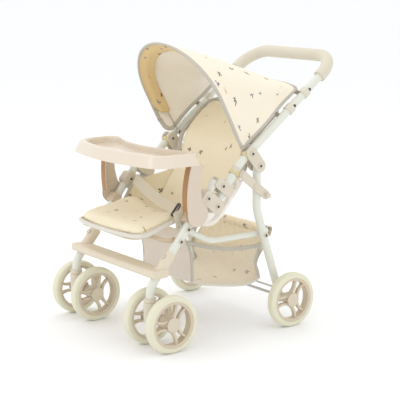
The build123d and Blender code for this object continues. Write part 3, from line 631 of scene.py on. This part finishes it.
def seat_cushion():
    """Padded seat with a curved nose and sides drawn in between its corners."""
    rows, columns = 34, 41
    front, corner, back = -46.0, -33.0, 122.0
    low, thick, crown = 224.5, 17.0, 3.5
    round_off, round_from = 20.0, 0.84
    widest, waist, back_taper = 111.0, 5.0, 6.0
    side_lift, nose_drop, bow = 24.0, 4.5, 2.4
    tape_low = low + 3.0

    def nose_at(a):
        turn = max(abs(a) - round_from, 0.0) / (1 - round_from)
        rounding = round_off * (1 - math.sqrt(max(1 - turn * turn, 0.0)))
        return front + (corner - front) * abs(a) ** bow + rounding

    def lift_at(a, b):
        """The cover is drawn up towards the frame at its sides, and its nose hangs over the tube."""
        return side_lift * abs(a) ** bow * smooth(b / 0.9) - nose_drop * (1 - smooth(b / 0.3))

    points = []
    for face in (1, -1):
        for i in range(rows):
            b = i / (rows - 1)
            half = widest - waist * math.sin(math.pi * b) - back_taper * smooth((b - 0.85) / 0.15)
            for j in range(columns):
                a = 2 * j / (columns - 1) - 1
                nose = nose_at(a)
                rim = (1 - abs(a) ** 10) ** 0.5 * (1 - abs(2 * b - 1) ** 14) ** 0.5
                if face > 0:
                    rise = rim * (thick / 2 + crown * (1 - a * a) * math.sin(math.pi * b))
                else:
                    rise = -rim * thick / 2
                z = low + thick / 2 + lift_at(a, b) + rise
                points.append(at(a * half, nose + b * (back - nose), z))
    pad = puff("seat_cushion", *merged(points, shell_faces(rows, columns)), SEAT, "front_frame",
               "seat_fabric", 0.005, 3.0, 0.004, lambda co: (co.x, co.y + co.z * 0.4))
    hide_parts("seat_pan")
    nose_tape, side_tape = [], []
    for k in range(61):
        a = math.sin(math.pi / 2 * (-1 + 2 * k / 60))
        z = tape_low + lift_at(a, 0.0)
        nose_tape.append((at(a * 112.0, nose_at(a) - 0.5, z), at(a * 100.0, nose_at(a) + 14.0, z)))
    first = nose_at(1.0)
    for b in (0.1, 0.2, 0.3, 0.4, 0.5, 0.6, 0.7, 0.8):
        y = first + b * (back - first)
        side_tape.append((at(112.5 - waist * math.sin(math.pi * b), y, tape_low + lift_at(1.0, b)),
                          at(98.0, y, tape_low + lift_at(0.95, b))))
    far_tape = [(mirror(p), mirror(q)) for p, q in reversed(side_tape)]
    edge, inward = zip(*far_tape, *nose_tape, *side_tape)
    subdivide(binding("seat_binding", edge, inward, 0.007, 0.009, PALE_BINDING, "front_frame",
                      0.003))


BACK_LINE = [(118.0, 229.0), (147.0, 227.5), (169.0, 243.0), (193.0, 274.0), (211.0, 299.0), (226.0, 333.0),
             handle_at(48.0, 3.0), handle_at(88.0, -3.0), handle_at(128.0, -4.0), handle_at(158.0, -3.0)]
BACK_HALF = [104.0, 111.0, 114.5, 116.0, 118.0, 120.5, 121.5, 121.5, 121.0, 118.0]
BACK_SAG = [0.0, 2.0, 4.0, 6.0, 8.0, 11.0, 15.0, 15.0, 11.0, 5.0]


def back_frame(b):
    """Centre, outward direction, half width and sag of the backrest at share b of its height."""
    step = 0.01
    y, z = curve_through(BACK_LINE, b)
    before = curve_through(BACK_LINE, max(b - step, 0))
    after = curve_through(BACK_LINE, min(b + step, 1))
    along = (after - before) / np.linalg.norm(after - before)
    half, sag = (float(curve_through([(v,) for v in line], b)[0]) for line in (BACK_HALF, BACK_SAG))
    return (y, z), (-along[1], along[0]), half, sag


def top_corner(b):
    """The share of its width that the backrest keeps at share b: its top corners are rounded."""
    return 1 - 0.12 * smooth((b - 0.93) / 0.07)


def back_edge(b, sign=1):
    """A point just outside the backrest's edge and one inside it, for a binding."""
    (y, z), out, half, sag = back_frame(b)
    half *= top_corner(b)
    return (at(sign * (half + 1.0), y, z),
            at(sign * (half - 12.0), y - out[0] * sag * 0.2, z - out[1] * sag * 0.2))


def backrest():
    """Sling backrest: it sags behind the hinges, hollow across, and lies between the handle tubes."""
    rows, columns, thick = 48, 37, 8.0
    points = []
    for face in (1, -1):
        for i in range(rows):
            b = i / (rows - 1)
            (y, z), out, half, sag = back_frame(b)
            corner = top_corner(b)
            for j in range(columns):
                a = 2 * j / (columns - 1) - 1
                rim = (1 - abs(a) ** 12) ** 0.5 * (1 - abs(2 * b - 1) ** 24) ** 0.5
                n = face * rim * thick / 2 - sag * (1 - a * a)
                points.append(at(a * half * corner, y + out[0] * n, z + out[1] * n))
    pad = puff("backrest", *merged(points, shell_faces(rows, columns)), BACKREST, None, "seat_fabric",
               0.005, 2.5, 0.005, lambda co: (co.x + 0.3, co.y * 0.74 + co.z * 0.67))
    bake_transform(pad)
    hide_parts("seat_back")
    up = [back_edge(0.5 + 0.5 * k / 49) for k in range(50)]
    top, inside = up[-1]
    across, steps = [], 14
    for k in range(1, 2 * steps):
        x = top.x * (1 - k / steps)
        across.append((Vector((x, top.y + 0.001, top.z + 0.001)),
                       Vector((x, inside.y - 0.012, inside.z - 0.010))))
    down = [(mirror(p), mirror(q)) for p, q in reversed(up)]
    edge, inward = zip(*up, *across, *down)
    tapes = [binding("backrest_binding", edge, inward, 0.009, 0.0085, BINDING, None, 0.002)]
    for side, sign in SIDES:
        edge, inward = zip(*(back_edge(0.03 + 0.46 * k / 29, sign) for k in range(30)))
        tapes.append(binding(f"backrest_side_{side}", edge, inward, 0.012, 0.0095, PLAIN, None,
                             0.002))
    for piece in tapes:
        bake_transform(piece)


# Canopy

CANOPY_HALF = 137.0
CANOPY_STATIONS = [  # foot, top and straight leg of each band across the canopy, from front to rear
    ((208.0, 374.0), (95.0, 589.0), 117.0),
    (handle_at(84.0, -15.0), (205.0, 559.0), 62.0),
    (handle_at(203.0, -16.0), handle_at(203.0, -38.0), 5.0),
]
CANOPY_MIDDLE = 0.43
FACING_TOP, FACING_FOOT, FACING_DEEP = 0.14, 0.27, 9.0
CORNER_SHARE = {1: 0.12, -1: 0.2}
CORNER_RISE = {1: 7.0, -1: 42.0}
BILLOW, CREASE, CREASE_HIGH = 3.5, 2.2, 90.0
HEM_INSET = 1.1


def three_way(a, b, c, u):
    """A value that runs smoothly from a through b at the middle station to c."""
    m = CANOPY_MIDDLE
    return (a * (u - m) * (u - 1) / m + b * u * (u - 1) / (m * (m - 1)) + c * u * (u - m) / (1 - m))


def canopy_point(u, v, inset=0.0):
    """A point of the canopy: u from the front edge to the rear, v from the left foot to the right one."""
    foot, top = (np.array([three_way(*(s[end][k] for s in CANOPY_STATIONS), u) for k in (0, 1)])
                 for end in (0, 1))
    straight = max(three_way(*(s[2] for s in CANOPY_STATIONS), u), 4.0)
    rise = top - foot
    height = float(np.hypot(*rise))
    half = CANOPY_HALF - inset
    arc = math.pi / 2 * math.sqrt((half ** 2 + (height - inset - straight) ** 2) / 2)
    side = 1 if v < 0.5 else -1
    short = max(1 - u / CORNER_SHARE[side], 0.0)
    lift = CORNER_RISE[side] * (1 - math.sqrt(1 - short * short))
    lift *= 1 - smooth(1 - 4 * abs(v - 0.5))
    run = lift + (1 - abs(2 * v - 1)) * (straight + arc - lift)
    if run < straight:
        x, h = half, run
    else:
        turn = (run - straight) / arc * math.pi / 2
        x, h = half * math.cos(turn), straight + (height - inset - straight) * math.sin(turn)
    low = 1 - smooth(h / CREASE_HIGH)
    billow = BILLOW * math.sin(math.pi * u) * math.sin(math.pi * min(h / height, 1.0))
    crease = CREASE * low * math.sin(9.0 * u + 5.0 * h / CREASE_HIGH)
    crease = crease * smooth(u / 0.12) * smooth((1 - u) / 0.2)
    x -= (billow * 0.5 + crease)
    place = foot + rise / height * h
    return at(side * x, *place)


def canopy():
    rows, columns = 41, 91
    heart = at(0, 220, 430)

    def shell(inset):
        return [[canopy_point(i / (rows - 1), j / (columns - 1), inset) for j in range(columns)]
                for i in range(rows)]

    def hang(piece):
        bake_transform(piece)
        return piece

    def facing_at(i, v):
        """A point of the casing that hides the bow: i from 0 at the front edge to 1 at its seam."""
        width = FACING_TOP + (FACING_FOOT - FACING_TOP) * abs(2 * v - 1) ** 2
        deep = FACING_DEEP * smooth(i / 0.4) * (1 - 0.85 * smooth((i - 0.86) / 0.14))
        return canopy_point(i * width, v, 3.2 + deep)

    def band(u):
        return [canopy_point(u, j / 90, HEM_INSET) for j in range(91)]

    def length(v):
        return [canopy_point(i / 40, v, HEM_INSET) for i in range(41)]

    def hem(place, edge, inward, width, thick, proud):
        hang(binding(f"canopy_{place}", edge, inward, width, thick, BINDING, None, proud))

    outer = shell(0.0)
    hood = hang(cloth_sheet("canopy_hood", outer, CANOPY_OUT, None, 0.001))
    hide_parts("canopy_fabric")
    hang(cloth_sheet("canopy_lining", shell(2.2), CANOPY_IN, None, 0.0008))
    strip = [[facing_at(i / 16, 0.08 + 0.84 * j / (columns - 1)) for j in range(columns)] for i in range(17)]
    hang(cloth_sheet("canopy_facing", strip, FACING, None, 0.0008))
    hem("front_binding", band(0.0), band(0.05), 0.0085, 0.0046, 0.0022)
    hem("rear_binding", band(1.0), band(0.94), 0.009, 0.0046, 0.002)
    for side, v, step in (("left", 0.0, 0.02), ("right", 1.0, -0.02)):
        hem(f"side_binding_{side}", length(v), length(v + step), 0.010, 0.0048, 0.002)
    row = [canopy_point(0.055, j / 360, -0.2) for j in range(361)]
    normals = [(p - heart).normalized() for p in row]
    hang(stitches("canopy_front_stitches", row, normals, THREAD, None))
    # Stitches at the facing's inner seam, brown as painted shadow of the casing
    row = [facing_at(0.93, 0.08 + 0.84 * j / 360) for j in range(361)]
    normals = [(heart - p).normalized() for p in row]
    hang(stitches("canopy_facing_shaded_stitches", row, normals, SEAM_SHADE, None))


# Basket

BASKET_FRONT_HALF, BASKET_HALF = 87.5, 114.5
BASKET_TAPER = (116.0, 274.0)
BASKET_LINE = [(103.0, 212.0), (103.0, 193.0), (112.0, 163.0), (115.0, 136.0), (115.5, 113.0), (125.0, 101.0),
               (160.0, 93.5), (205.0, 86.5), (240.0, 85.0), (262.0, 89.0), (273.0, 98.0), (277.0, 120.0),
               (283.0, 145.0), (290.0, 168.0), (297.0, 187.0)]
BASKET_HEEL = 10 / 14
NET_FRONT = [(115.5, 106.0), (115.0, 136.0), (112.0, 163.0), (103.0, 192.0)]
NET_FOOT = [(115.5, 106.0), (135.0, 97.5), (162.0, 92.5), (192.0, 88.0), (220.0, 85.0), (247.0, 85.5),
            (272.0, 95.0)]
NET_REAR = [(272.0, 95.0), (269.0, 110.0), (263.0, 130.0), (268.0, 147.0), (276.0, 169.0)]
NET_RIM = [(103.0, 192.0), (131.0, 184.0), (161.0, 175.5), (192.0, 169.0), (223.0, 167.0), (252.0, 167.5),
           (276.0, 169.0)]


def basket_half(y):
    """Half width of the bag at a distance behind the front axle: it narrows towards the front."""
    first, last = BASKET_TAPER
    return BASKET_FRONT_HALF + (BASKET_HALF - BASKET_FRONT_HALF) * clamp((y - first) / (last - first))


def basket_point(b, a, inset=0.0):
    """A point of the hanging sheet: b from the front rim round to the back rim, a across.

    An inset sheet is the lining, which is pleated up the back."""
    y, z = curve_through(BASKET_LINE, b)
    belly = math.sin(math.pi * clamp((b - 0.1) / 0.8))
    rear = clamp((b - BASKET_HEEL) / (1 - BASKET_HEEL))
    z -= 3.0 * belly * (1 - a * a)
    y -= 4.0 * math.sin(math.pi * min(b / 0.3, 1)) * (1 - a * a)
    y -= 13.0 * abs(a) ** 3 * math.sin(math.pi * min(rear / 0.7, 1.0))
    half = basket_half(y) - inset
    wave = math.sin(a * half * 0.3 + 1.4 * math.sin(a * half * 0.06))
    pleat = 2.0 * (1 + wave) * smooth(rear * 2) * min(inset, 1.0)
    y -= (inset + pleat) * smooth(rear * 4)
    return at(a * half, y, z + inset * belly * (1 - smooth(rear * 4)))


def basket():
    rows, columns = 61, 31

    def sheet_of(count, inset):
        return [[basket_point(i / (rows - 1), 2 * j / (count - 1) - 1, inset) for j in range(count)]
                for i in range(rows)]

    sheet = sheet_of(columns, 0.0)
    bag = cloth_sheet("basket_bag_cloth", sheet, BAG, "basket", 0.001)
    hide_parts("basket_bag")
    pleated = sheet_of(3 * columns, 1.6)
    lining = cloth_sheet("basket_lining", pleated, BAG_IN, "basket", 0.0006)
    pieces = [bag, lining]
    for side, sign in SIDES:
        pieces += basket_side(side, sign)
    gathered_sleeve()
    for piece in pieces:
        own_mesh(piece)


def basket_side(side, sign):
    """One side of the basket: a diamond net in a grey binding, with a paler one along its foot."""
    columns, rows = 76, 42
    out, bulge = 0.6, 3.0
    ends = [np.array(p) for p in (NET_FOOT[0], NET_FOOT[-1], NET_RIM[0], NET_RIM[-1])]
    corners, faces, known = [], [], {}

    def spot(c, d):
        """c from front to back, d from the bottom to the rim: a patch between the four edges."""
        front, rear = curve_through(NET_FRONT, d), curve_through(NET_REAR, d)
        foot, rim = curve_through(NET_FOOT, c), curve_through(NET_RIM, c)
        y, z = ((1 - d) * foot + d * rim + (1 - c) * front + c * rear - (1 - c) * (1 - d) * ends[0]
                - c * (1 - d) * ends[1] - (1 - c) * d * ends[2] - c * d * ends[3])
        full = bulge * math.sin(math.pi * c) * math.sin(math.pi * d)
        return at(sign * (basket_half(y) + out + full), y, z)

    def index(i, j):
        if (i, j) not in known:
            known[i, j] = len(corners)
            corners.append(spot(j / columns, i / rows))
        return known[i, j]

    def level(d):
        return [spot(k / 40, d) for k in range(41)]

    def upright(c):
        return [spot(c, k / 20) for k in range(21)]

    for i in range(1, rows):
        for j in range(1, columns):
            if (i + j) % 2 == 0:
                faces.append((index(i - 1, j), index(i, j + 1), index(i + 1, j), index(i, j - 1)))
    name = f"basket_net_{side}"
    mesh = mesh_from(name, corners, faces, [(p.y, p.z) for p in corners])
    net = new_piece(name, mesh, MESH, "basket")
    wire = net.modifiers.new("strands", "WIREFRAME")
    wire.thickness = 0.0007
    wire.use_even_offset = False
    apply_modifiers(net)
    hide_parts(f"basket_side_{side}")
    tapes = []
    for place, edge, inward, width, finish in (
            ("rim", level(1.0), level(0.9), 0.009, BINDING),
            ("foot", level(0.0), level(0.1), 0.005, PALE_BINDING),
            ("front", upright(0.0), upright(0.1), 0.006, BINDING),
            ("rear", upright(1.0), upright(0.9), 0.006, BINDING)):
        tapes.append(binding(f"basket_{place}_binding_{side}", edge, inward, width, 0.003, finish, "basket",
                             0.002))
    return [net] + tapes


def gathered_sleeve():
    """Cloth sleeve gathered on the basket tube's back run."""
    count, around = 150, 14
    half, radius, gather, hang = 112.0, 8.6, 1.5, 6.0
    points, uvs = [], []
    for i in range(count):
        x = -half + 2 * half * i / (count - 1)
        fold = math.sin(i * 0.83 + 1.3 * math.sin(i * 0.21))
        for angle, c, s in turns(around):
            r = radius + gather * fold * (0.6 + 0.4 * math.sin(angle * 2 + i * 0.11))
            drop = hang if s < -0.6 else 0.0
            points.append(at(x, BASKET_BACK_Y + r * c, BASKET_TUBE_Z + r * s - drop))
            uvs.append((x * MM, r * angle * MM))
    mesh = mesh_from("basket_sleeve", points, grid_faces(count, around, ring=True), uvs)
    subdivide(new_piece("basket_sleeve", mesh, BAG_IN, "basket"))


# Side gussets, lap strap and small fittings

def gussets():
    """Side panels of the seat cover, from the front legs back to the backrest's edges."""
    rows, columns = 25, 25
    for side, sign in SIDES:
        sheet = []
        for i in range(rows):
            v = i / (rows - 1)
            front = leg_at(140.0 + 66.0 * v, 4.0 + 8.0 * (1 - v))
            (y, z), _, half, _ = back_frame(0.01 + 0.47 * v)
            ahead = 117.0 + 8.0 * smooth(v * 3)
            row = []
            for j in range(columns):
                u = j / (columns - 1)
                bow = math.sin(math.pi * u)
                x = ahead + (half - 7.0 - ahead) * smooth(u) ** 2 + 2.0 * bow * math.sin(math.pi * v)
                row.append(at(sign * x, front[0] + (y - front[0]) * u,
                              front[1] + (z - front[1]) * u - 3.0 * bow * (1 - v)))
            sheet.append(row[::sign])
        panel = cloth_sheet(f"seat_gusset_{side}", sheet, PLAIN, None, 0.0016, 0.0)
        panel.data.materials.append(SEAT)
        panel.modifiers["thickness"].material_offset = 1
        cover = [panel]
        from_leg = [row[::sign] for row in sheet]
        for place, edge, inward, width, thick in (
                ("front", [row[0] for row in from_leg], [row[2] for row in from_leg], 0.008, 0.0042),
                ("foot", sheet[0], sheet[2], 0.007, 0.004)):
            cover.append(binding(f"seat_gusset_{place}_binding_{side}", edge, inward, width, thick, BINDING,
                                 None))
        for piece in cover:
            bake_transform(piece)


STRAP_START = (-113.0, 109.9, 292.8)
STRAP_END = (113.0, 63.3, 264.0)
STRAP_LEAN = math.radians(55)
STRAP_WIDE, STRAP_THICK = 0.024, 0.0016


def strap_line(t):
    """Centre of the lap strap at share t, with a slight sag between its ends."""
    p = [a + (b - a) * t for a, b in zip(STRAP_START, STRAP_END)]
    sag = math.sin(math.pi * clamp(t))
    return at(p[0], p[1] - 2.0 * sag, p[2] - 5.0 * sag)


def lap_strap():
    head = [at(-119.5, 114.0, 286.0), at(-117.0, 112.0, 291.0)]
    tail = [at(116.0, 63.3, 259.0), at(118.0, 64.5, 250.0), at(118.5, 66.0, 240.0), at(117.0, 67.0, 230.0)]
    path = head + [strap_line(k / 40) for k in range(41)] + tail
    sides, normals = [], []
    for i in range(len(path)):
        along = (path[min(i + 1, len(path) - 1)] - path[max(i - 1, 0)]).normalized()
        turn = smooth((i - 40) / 4.0)
        lean = Vector((0.9 * turn, -math.sin(STRAP_LEAN) * (1 - turn), math.cos(STRAP_LEAN) * (1 - turn)))
        normals.append(square_to(along, lean))
        sides.append(along.cross(normals[-1]))
    strap = sweep("lap_strap_webbing", path, sides, normals, oval(STRAP_WIDE, STRAP_THICK, count=12), STRAP,
                  "front_frame")
    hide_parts("lap_strap")
    for place, first, last in (("head", 2, 6), ("tail", 38, 41)):
        for line, edge in (("a", -0.0095), ("b", 0.0095)):
            row = [path[k] + sides[k] * edge + normals[k] * 0.0009 for k in range(first, last + 1)]
            stitches(f"strap_{place}_stitches_{line}", row, normals[first:last + 1], THREAD, "front_frame",
                     0.003, 0.002)
    buckle(0.965)


def buckle(share):
    """Slider on the lap strap: a rounded frame with a bar across its middle."""
    centre = strap_line(share)
    along = (strap_line(share + 0.02) - strap_line(share - 0.02)).normalized()
    face = square_to(along, Vector((0, -math.sin(STRAP_LEAN), math.cos(STRAP_LEAN))))
    side = along.cross(face)
    half_l, half_w, corner, bar = 0.0065, 0.0142, 0.0045, 0.0012
    count, bar_steps = 48, 8
    ring, bar_line = [], []
    for _, c, s in turns(count):
        x = (half_l - corner) * math.copysign(min(1, abs(c) * 1.9), c) + corner * c
        y = (half_w - corner) * math.copysign(min(1, abs(s) * 1.9), s) + corner * s
        ring.append(centre + along * x + side * y + face * 0.0006)
    sides = [(ring[(k + 1) % count] - ring[k - 1]).normalized().cross(face) for k in range(count)]
    frame_piece = sweep("strap_slider", ring, sides, [face] * count, oval(2 * bar, 2 * bar, count=8), BUCKLE,
                        "front_frame", closed=True)
    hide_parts("strap_buckle")
    for k in range(bar_steps + 1):
        arch = 0.0012 + 0.0012 * math.sin(math.pi * k / bar_steps)
        bar_line.append(centre + side * (half_w * (2 * k / bar_steps - 1)) + face * arch)
    sweep("strap_slider_bar", bar_line, [along] * len(bar_line), [face] * len(bar_line),
          oval(0.0026, 0.002, count=8), BUCKLE, "front_frame")


def tube_band(name, place, direction, radius, width, thick, finish, body):
    """A band of webbing round a tube, a little slack."""
    count, loose = 40, 0.0006
    across = Vector((1, 0, 0))
    up = direction.cross(across).normalized()
    ring, normals = [], []
    for angle, c, s in turns(count):
        out = across * c + up * s
        slack = loose * (1 + math.sin(3 * angle + 0.7))
        ring.append(place + out * (radius + slack))
        normals.append(out)
    sweep(name, ring, [direction] * count, normals, oval(width, thick), finish, body, closed=True)


def small_fittings():
    """Elastic loops of the seat cover and dark snaps on the handle tubes."""
    lower = Vector((0, math.cos(LEG_SLOPE), math.sin(LEG_SLOPE)))
    upper = Vector((0, math.cos(HANDLE_SLOPE), math.sin(HANDLE_SLOPE)))
    for side, sign in SIDES:
        for k, (spot, direction) in enumerate(((leg_at(291.0, 30.0), lower), (handle_at(16.0), upper))):
            tube_band(f"cover_loop_{side}_{k + 1}", at(sign * TUBE_X, *spot), direction, 0.0093, 0.009,
                      0.0013, ELASTIC, "handle_frame")
        for k, t in enumerate((170.0, 221.0)):
            spot = at(sign * (TUBE_X + 8.0), *handle_at(t, -1.0))
            dome(f"tube_snap_{side}_{k + 1}", spot, Vector((sign, 0, 0)), 0.0034, 0.0021, SNAP_AND_RIVET_SHADE,
                 "handle_frame")


def canopy_tabs():
    """Dark tabs sewn to the canopy's lower edges and lying on the handle tubes."""
    out = 139.0
    across = Vector((0, math.cos(HANDLE_SLOPE), math.sin(HANDLE_SLOPE)))
    for side, sign, v in (("left", 1, 0.0), ("right", -1, 1.0)):
        for k, u in enumerate((0.66, 0.97)):
            root = canopy_point(u, v, -0.6)
            near = min(range(300), key=lambda t: (at(sign * out, *handle_at(float(t), -9.2)) - root).length)
            foot = at(sign * out, *handle_at(near + 4.0, -9.3))
            path = [root + (foot - root) * (i / 6) for i in range(-2, 8)]
            normals = [Vector((sign, 0, 0))] * len(path)
            subdivide(sweep(f"canopy_tab_{side}_{k + 1}", path, [across] * len(path), normals,
                            oval(0.011, 0.0016), TAB, "handle_frame"))


def rivet_shade_dots():
    """A small dark dome in each rivet head, painted shade for its hollow centre, found from the separate
    rivets of a group.
    """
    least_head = 0.006
    for group, body in RIVET_BODIES.items():
        node = NODES[group]
        mesh = bmesh.new()
        mesh.from_mesh(node.data)
        bmesh.ops.remove_doubles(mesh, verts=mesh.verts, dist=1e-6)
        seen, count = set(), 0
        for start in mesh.verts:
            if start in seen:
                continue
            island, queue = [], [start]
            seen.add(start)
            while queue:
                vert = queue.pop()
                island.append(node.matrix_world @ vert.co)
                for link in vert.link_edges:
                    other = link.other_vert(vert)
                    if other not in seen:
                        seen.add(other)
                        queue.append(other)
            low = Vector(min(p[k] for p in island) for k in range(3))
            high = Vector(max(p[k] for p in island) for k in range(3))
            for sign, x in ((1, high.x), (-1, low.x)):
                ring = [p for p in island if abs(p.x - x) < 1e-5]
                spread = max((p - q).length for p in ring for q in ring[:1])
                if spread > least_head:
                    count += 1
                    centre = sum(ring, Vector()) / len(ring)
                    # dark dome: painted shade of the rivet's hollow centre
                    dome(f"{group}_socket_{count}", Vector((x, centre.y, centre.z)), Vector((sign, 0, 0)),
                         0.0027, 0.0006, SNAP_AND_RIVET_SHADE, body)
        mesh.free()


def dome(name, place, out, radius, height, finish, body):
    """A snap head: a low dome on a rolled rim."""
    profile = [(0.35, 0.95), (0.62, 0.78), (0.8, 0.5), (0.86, 0.36), (1.0, 0.4), (1.04, 0.2), (1.0, -0.6)]
    count = 20
    side = out.orthogonal().normalized()
    other = out.cross(side)
    points = [place + out * height]
    for r, h in profile:
        for _, c, s in turns(count):
            points.append(place + (side * c + other * s) * (radius * r) + out * (height * h))
    faces = [(0, 1 + k, 1 + (k + 1) % count) for k in range(count)]
    for i in range(len(profile) - 1):
        ring, below = 1 + i * count, 1 + (i + 1) * count
        for k in range(count):
            n = (k + 1) % count
            faces.append((ring + k, below + k, below + n, ring + n))
    last = len(points) - count
    faces.append(tuple(last + k for k in reversed(range(count))))
    new_piece(name, mesh_from(name, points, faces), finish, body)


studio()
finish_frame()
seat_cushion()
backrest()
gussets()
lap_strap()
canopy()
basket()
small_fittings()
canopy_tabs()
rivet_shade_dots()
